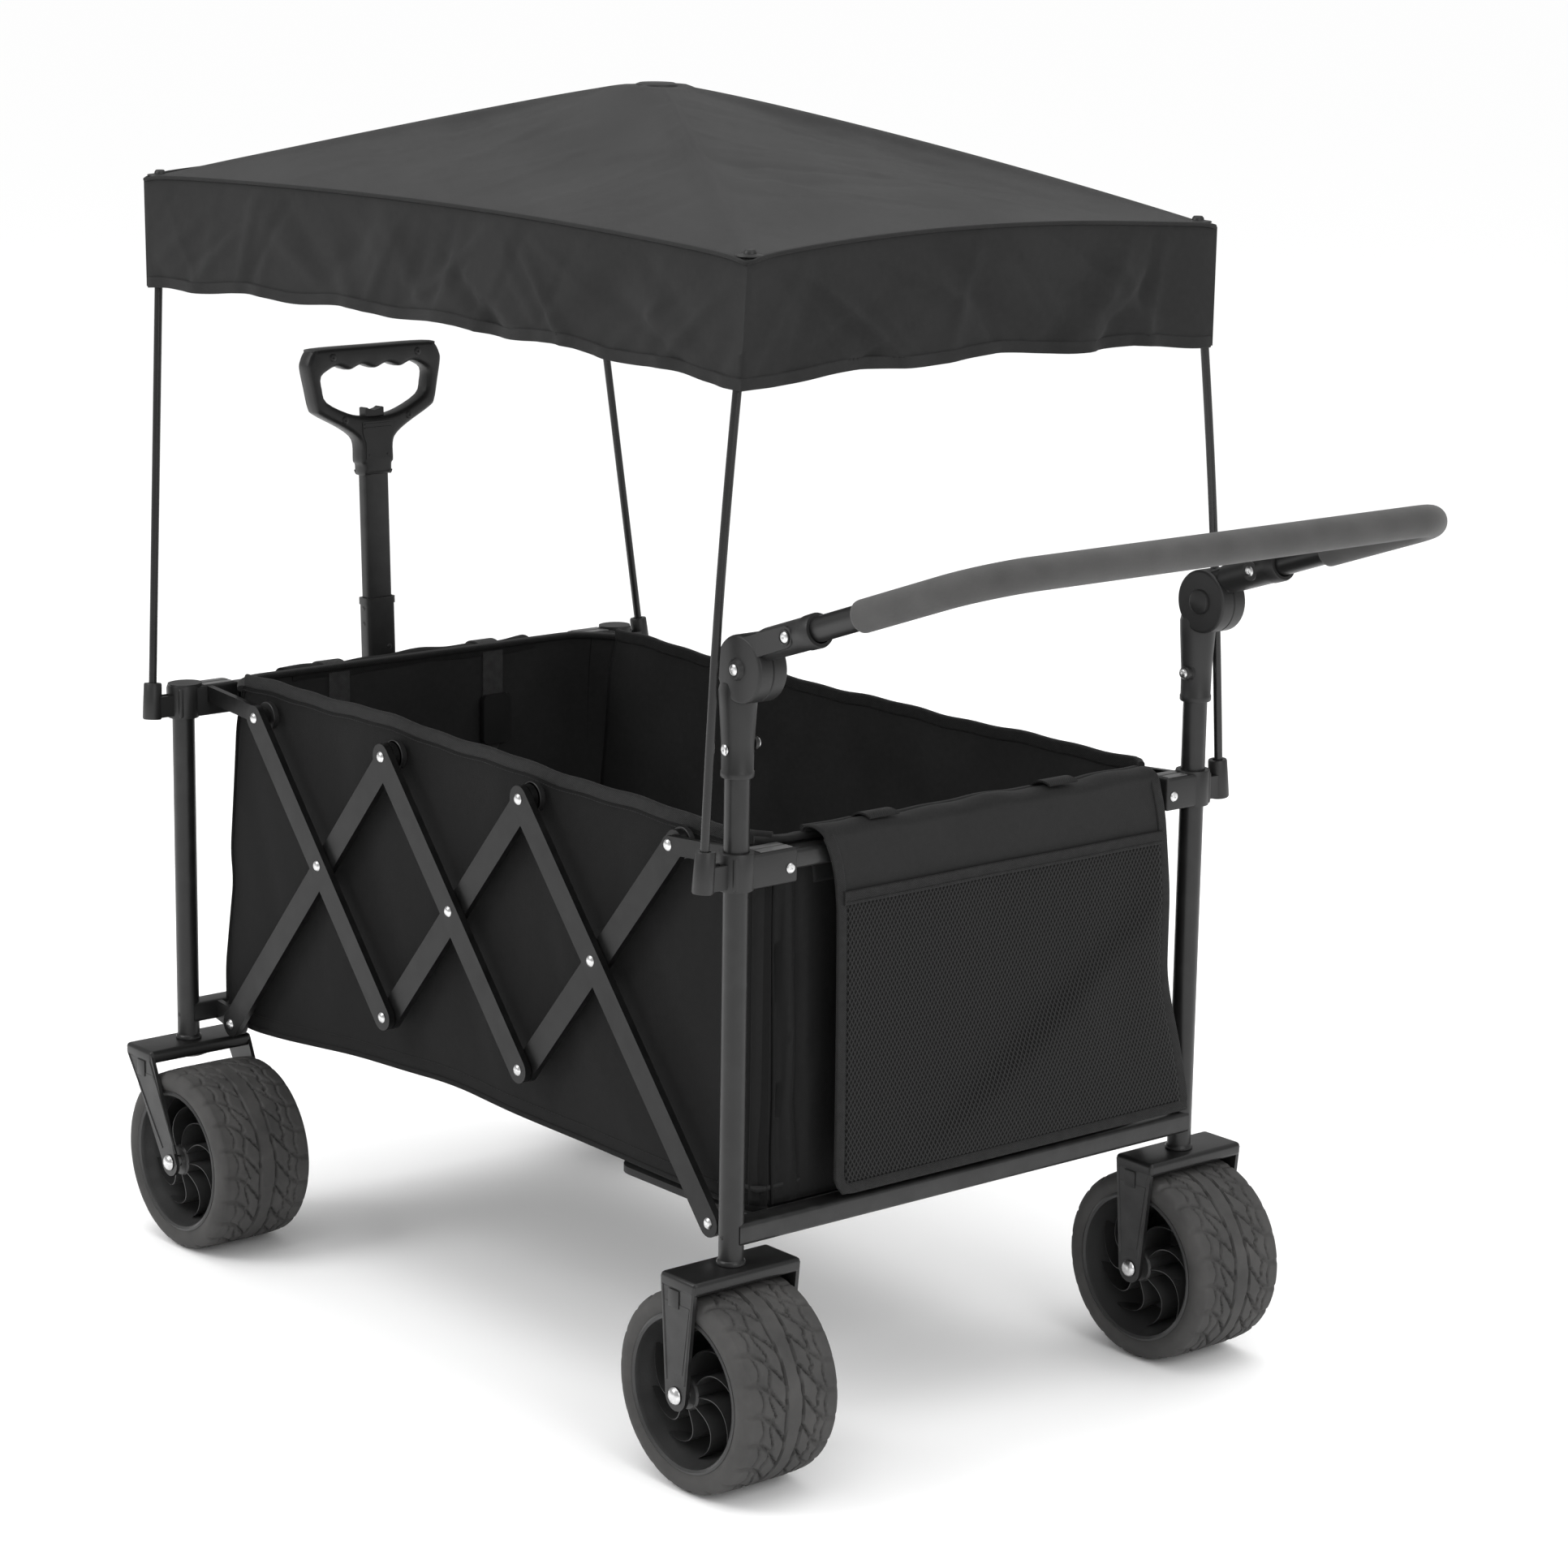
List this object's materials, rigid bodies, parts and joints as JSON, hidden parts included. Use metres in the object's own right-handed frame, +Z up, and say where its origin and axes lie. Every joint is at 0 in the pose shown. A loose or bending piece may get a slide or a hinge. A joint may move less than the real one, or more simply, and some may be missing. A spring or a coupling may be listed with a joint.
{
  "type": "folding wagon",
  "caption": "Folding fabric wagon with scissor frame, canopy on four rods, swivelling front casters, telescoping pull handle and tilting push handle.",
  "frame": {"origin": "on the floor, under the middle of the overall bounding box", "axes": "+X towards the push handle at the rear, +Y to the right side seen from the rear, +Z up"},
  "size_m": [1.2508, 0.6586, 1.16],
  "materials": {
    "powder_steel": "satin black powder coat, fine orange-peel grain",
    "black_plastic": "moulded black plastic with a fine texture",
    "hub_plastic": "glossy black moulded plastic",
    "tyre_rubber": "matt dark grey rubber with a wavy grooved tread",
    "grip_foam": "soft closed-cell foam sleeve",
    "basket_fabric": "heavy black woven polyester",
    "canopy_fabric": "dark charcoal woven polyester",
    "zinc_bolt": "bright zinc plate"
  },
  "bodies": {
    "front_frame": {"front_frame": "powder_steel", "front_top_rail": "powder_steel", "front_panel": "basket_fabric", "basket_body": "basket_fabric", "canopy_cover": "canopy_fabric", "front_left_bracket": "black_plastic", "front_left_canopy_rod": "powder_steel", "front_right_bracket": "black_plastic", "front_right_canopy_rod": "powder_steel"},
    "rear_frame": {"rear_frame": "powder_steel", "rear_top_rail": "powder_steel", "rear_panel": "basket_fabric", "rear_left_bracket": "black_plastic", "rear_left_canopy_rod": "powder_steel", "rear_left_fork": "powder_steel", "rear_left_axle": "zinc_bolt", "push_left_lower_housing": "black_plastic", "rear_right_bracket": "black_plastic", "rear_right_canopy_rod": "powder_steel", "rear_right_fork": "powder_steel", "rear_right_axle": "zinc_bolt", "push_right_lower_housing": "black_plastic"},
    "left_caster": {"front_left_fork": "powder_steel", "front_left_axle": "zinc_bolt"},
    "front_left_wheel": {"front_left_hub": "hub_plastic", "front_left_tyre": "tyre_rubber"},
    "rear_left_wheel": {"rear_left_hub": "hub_plastic", "rear_left_tyre": "tyre_rubber"},
    "left_b1": {"left_bar_b1": "powder_steel"},
    "left_a1": {"left_bar_a1": "powder_steel"},
    "left_b2": {"left_bar_b2": "powder_steel"},
    "left_a2": {"left_bar_a2": "powder_steel"},
    "left_b3": {"left_bar_b3": "powder_steel"},
    "left_a3": {"left_bar_a3": "powder_steel"},
    "front_left_link": {"front_left_link": "powder_steel"},
    "rear_left_link": {"rear_left_link": "powder_steel"},
    "push_left_button": {"push_left_button": "black_plastic"},
    "right_caster": {"front_right_fork": "powder_steel", "front_right_axle": "zinc_bolt"},
    "front_right_wheel": {"front_right_hub": "hub_plastic", "front_right_tyre": "tyre_rubber"},
    "rear_right_wheel": {"rear_right_hub": "hub_plastic", "rear_right_tyre": "tyre_rubber"},
    "right_b1": {"right_bar_b1": "powder_steel"},
    "right_a1": {"right_bar_a1": "powder_steel"},
    "right_b2": {"right_bar_b2": "powder_steel"},
    "right_a2": {"right_bar_a2": "powder_steel"},
    "right_b3": {"right_bar_b3": "powder_steel"},
    "right_a3": {"right_bar_a3": "powder_steel"},
    "front_right_link": {"front_right_link": "powder_steel"},
    "rear_right_link": {"rear_right_link": "powder_steel"},
    "push_right_button": {"push_right_button": "black_plastic"},
    "push_handle": {"push_handle_tube": "powder_steel", "push_handle_foam": "grip_foam", "push_left_upper_housing": "black_plastic", "push_right_upper_housing": "black_plastic"},
    "pull_outer": {"pull_outer_tube": "powder_steel"},
    "pull_inner": {"pull_inner_tube": "powder_steel", "pull_grip": "black_plastic"},
    "pull_button": {"pull_button": "black_plastic"}
  },
  "joints": [
    {"name": "fold", "type": "slide", "parent": "front_frame", "child": "rear_frame", "axis": [-1, 0, 0], "range_m": [0, 0.5633], "deforming": ["basket_body", "canopy_cover"]},
    {"name": "left_b1_pivot", "type": "hinge", "parent": "front_frame", "child": "left_b1", "pos_m": [-0.50293, -0.24625, 0.217], "axis": [0, -1, 0], "range_deg": [0, 30.7]},
    {"name": "left_a1_pivot", "type": "hinge", "parent": "left_b1", "child": "left_a1", "pos_m": [-0.33407, -0.25, 0.41471], "axis": [0, -1, 0], "range_deg": [-61.2, 0]},
    {"name": "left_b2_pivot", "type": "hinge", "parent": "left_a1", "child": "left_b2", "pos_m": [-0.22626, -0.25, 0.28848], "axis": [0, -1, 0], "range_deg": [0, 61.2]},
    {"name": "left_a2_pivot", "type": "hinge", "parent": "left_b2", "child": "left_a2", "pos_m": [-0.11846, -0.25, 0.41471], "axis": [0, -1, 0], "range_deg": [-61.2, 0]},
    {"name": "left_b3_pivot", "type": "hinge", "parent": "left_a2", "child": "left_b3", "pos_m": [-0.01065, -0.25, 0.28848], "axis": [0, -1, 0], "range_deg": [0, 61.2]},
    {"name": "left_a3_pivot", "type": "hinge", "parent": "left_b3", "child": "left_a3", "pos_m": [0.09716, -0.25, 0.41471], "axis": [0, -1, 0], "range_deg": [-61.2, 0]},
    {"name": "front_left_link_pivot", "type": "hinge", "parent": "front_frame", "child": "front_left_link", "pos_m": [-0.54946, -0.24625, 0.549], "axis": [0, -1, 0], "range_deg": [0, 58.81]},
    {"name": "rear_left_link_pivot", "type": "hinge", "parent": "rear_frame", "child": "rear_left_link", "pos_m": [0.31255, -0.25375, 0.549], "axis": [0, -1, 0], "range_deg": [-58.81, 0]},
    {"name": "right_b1_pivot", "type": "hinge", "parent": "front_frame", "child": "right_b1", "pos_m": [-0.50293, 0.24625, 0.217], "axis": [0, -1, 0], "range_deg": [0, 30.7]},
    {"name": "right_a1_pivot", "type": "hinge", "parent": "right_b1", "child": "right_a1", "pos_m": [-0.33407, 0.25, 0.41471], "axis": [0, -1, 0], "range_deg": [-61.2, 0]},
    {"name": "right_b2_pivot", "type": "hinge", "parent": "right_a1", "child": "right_b2", "pos_m": [-0.22626, 0.25, 0.28848], "axis": [0, -1, 0], "range_deg": [0, 61.2]},
    {"name": "right_a2_pivot", "type": "hinge", "parent": "right_b2", "child": "right_a2", "pos_m": [-0.11846, 0.25, 0.41471], "axis": [0, -1, 0], "range_deg": [-61.2, 0]},
    {"name": "right_b3_pivot", "type": "hinge", "parent": "right_a2", "child": "right_b3", "pos_m": [-0.01065, 0.25, 0.28848], "axis": [0, -1, 0], "range_deg": [0, 61.2]},
    {"name": "right_a3_pivot", "type": "hinge", "parent": "right_b3", "child": "right_a3", "pos_m": [0.09716, 0.25, 0.41471], "axis": [0, -1, 0], "range_deg": [-61.2, 0]},
    {"name": "front_right_link_pivot", "type": "hinge", "parent": "front_frame", "child": "front_right_link", "pos_m": [-0.54946, 0.24625, 0.549], "axis": [0, -1, 0], "range_deg": [0, 58.81]},
    {"name": "rear_right_link_pivot", "type": "hinge", "parent": "rear_frame", "child": "rear_right_link", "pos_m": [0.31255, 0.25375, 0.549], "axis": [0, -1, 0], "range_deg": [-58.81, 0]},
    {"name": "left_caster_swivel", "type": "hinge", "parent": "front_frame", "child": "left_caster", "pos_m": [-0.54946, -0.269, 0.1965], "axis": [0, 0, 1], "continuous": true},
    {"name": "front_left_wheel_spin", "type": "hinge", "parent": "left_caster", "child": "front_left_wheel", "pos_m": [-0.49585, -0.269, 0.09], "axis": [0, 1, 0], "continuous": true},
    {"name": "rear_left_wheel_spin", "type": "hinge", "parent": "rear_frame", "child": "rear_left_wheel", "pos_m": [0.31105, -0.269, 0.09], "axis": [0, 1, 0], "continuous": true},
    {"name": "right_caster_swivel", "type": "hinge", "parent": "front_frame", "child": "right_caster", "pos_m": [-0.54946, 0.269, 0.1965], "axis": [0, 0, 1], "continuous": true},
    {"name": "front_right_wheel_spin", "type": "hinge", "parent": "right_caster", "child": "front_right_wheel", "pos_m": [-0.49585, 0.269, 0.09], "axis": [0, 1, 0], "continuous": true},
    {"name": "rear_right_wheel_spin", "type": "hinge", "parent": "rear_frame", "child": "rear_right_wheel", "pos_m": [0.31105, 0.269, 0.09], "axis": [0, 1, 0], "continuous": true},
    {"name": "push_handle_tilt", "type": "hinge", "parent": "rear_frame", "child": "push_handle", "pos_m": [0.32904, 0, 0.717], "axis": [0, -1, 0], "range_deg": [-100, 38]},
    {"name": "push_left_button_press", "type": "slide", "parent": "push_handle", "child": "push_left_button", "axis": [0, -1, 0], "range_m": [0, 0.003], "stiffness_N_per_m": 400, "springref_m": -0.002},
    {"name": "push_right_button_press", "type": "slide", "parent": "push_handle", "child": "push_right_button", "axis": [0, 1, 0], "range_m": [0, 0.003], "stiffness_N_per_m": 400, "springref_m": -0.002},
    {"name": "pull_handle_swing", "type": "hinge", "parent": "front_frame", "child": "pull_outer", "pos_m": [-0.58845, 0, 0.212], "axis": [0, -1, 0], "range_deg": [-2, 92]},
    {"name": "pull_handle_extend", "type": "slide", "parent": "pull_outer", "child": "pull_inner", "axis": [-0.0401, 0, 0.9992], "range_m": [-0.12, 0.2]},
    {"name": "pull_button_press", "type": "slide", "parent": "pull_inner", "child": "pull_button", "axis": [0.0401, 0, -0.9992], "range_m": [0, 0.005], "stiffness_N_per_m": 400, "springref_m": -0.002}
  ],
  "couplings": [
    {"joint": "left_b1_pivot", "follows": "fold", "rad_per_m": 0.94501},
    {"joint": "left_a1_pivot", "follows": "fold", "rad_per_m": -1.89},
    {"joint": "left_b2_pivot", "follows": "fold", "rad_per_m": 1.89},
    {"joint": "left_a2_pivot", "follows": "fold", "rad_per_m": -1.89},
    {"joint": "left_b3_pivot", "follows": "fold", "rad_per_m": 1.89},
    {"joint": "left_a3_pivot", "follows": "fold", "rad_per_m": -1.89},
    {"joint": "front_left_link_pivot", "follows": "fold", "rad_per_m": 1.8159},
    {"joint": "rear_left_link_pivot", "follows": "fold", "rad_per_m": -1.8159},
    {"joint": "right_b1_pivot", "follows": "fold", "rad_per_m": 0.94501},
    {"joint": "right_a1_pivot", "follows": "fold", "rad_per_m": -1.89},
    {"joint": "right_b2_pivot", "follows": "fold", "rad_per_m": 1.89},
    {"joint": "right_a2_pivot", "follows": "fold", "rad_per_m": -1.89},
    {"joint": "right_b3_pivot", "follows": "fold", "rad_per_m": 1.89},
    {"joint": "right_a3_pivot", "follows": "fold", "rad_per_m": -1.89},
    {"joint": "front_right_link_pivot", "follows": "fold", "rad_per_m": 1.8159},
    {"joint": "rear_right_link_pivot", "follows": "fold", "rad_per_m": -1.8159}
  ]
}
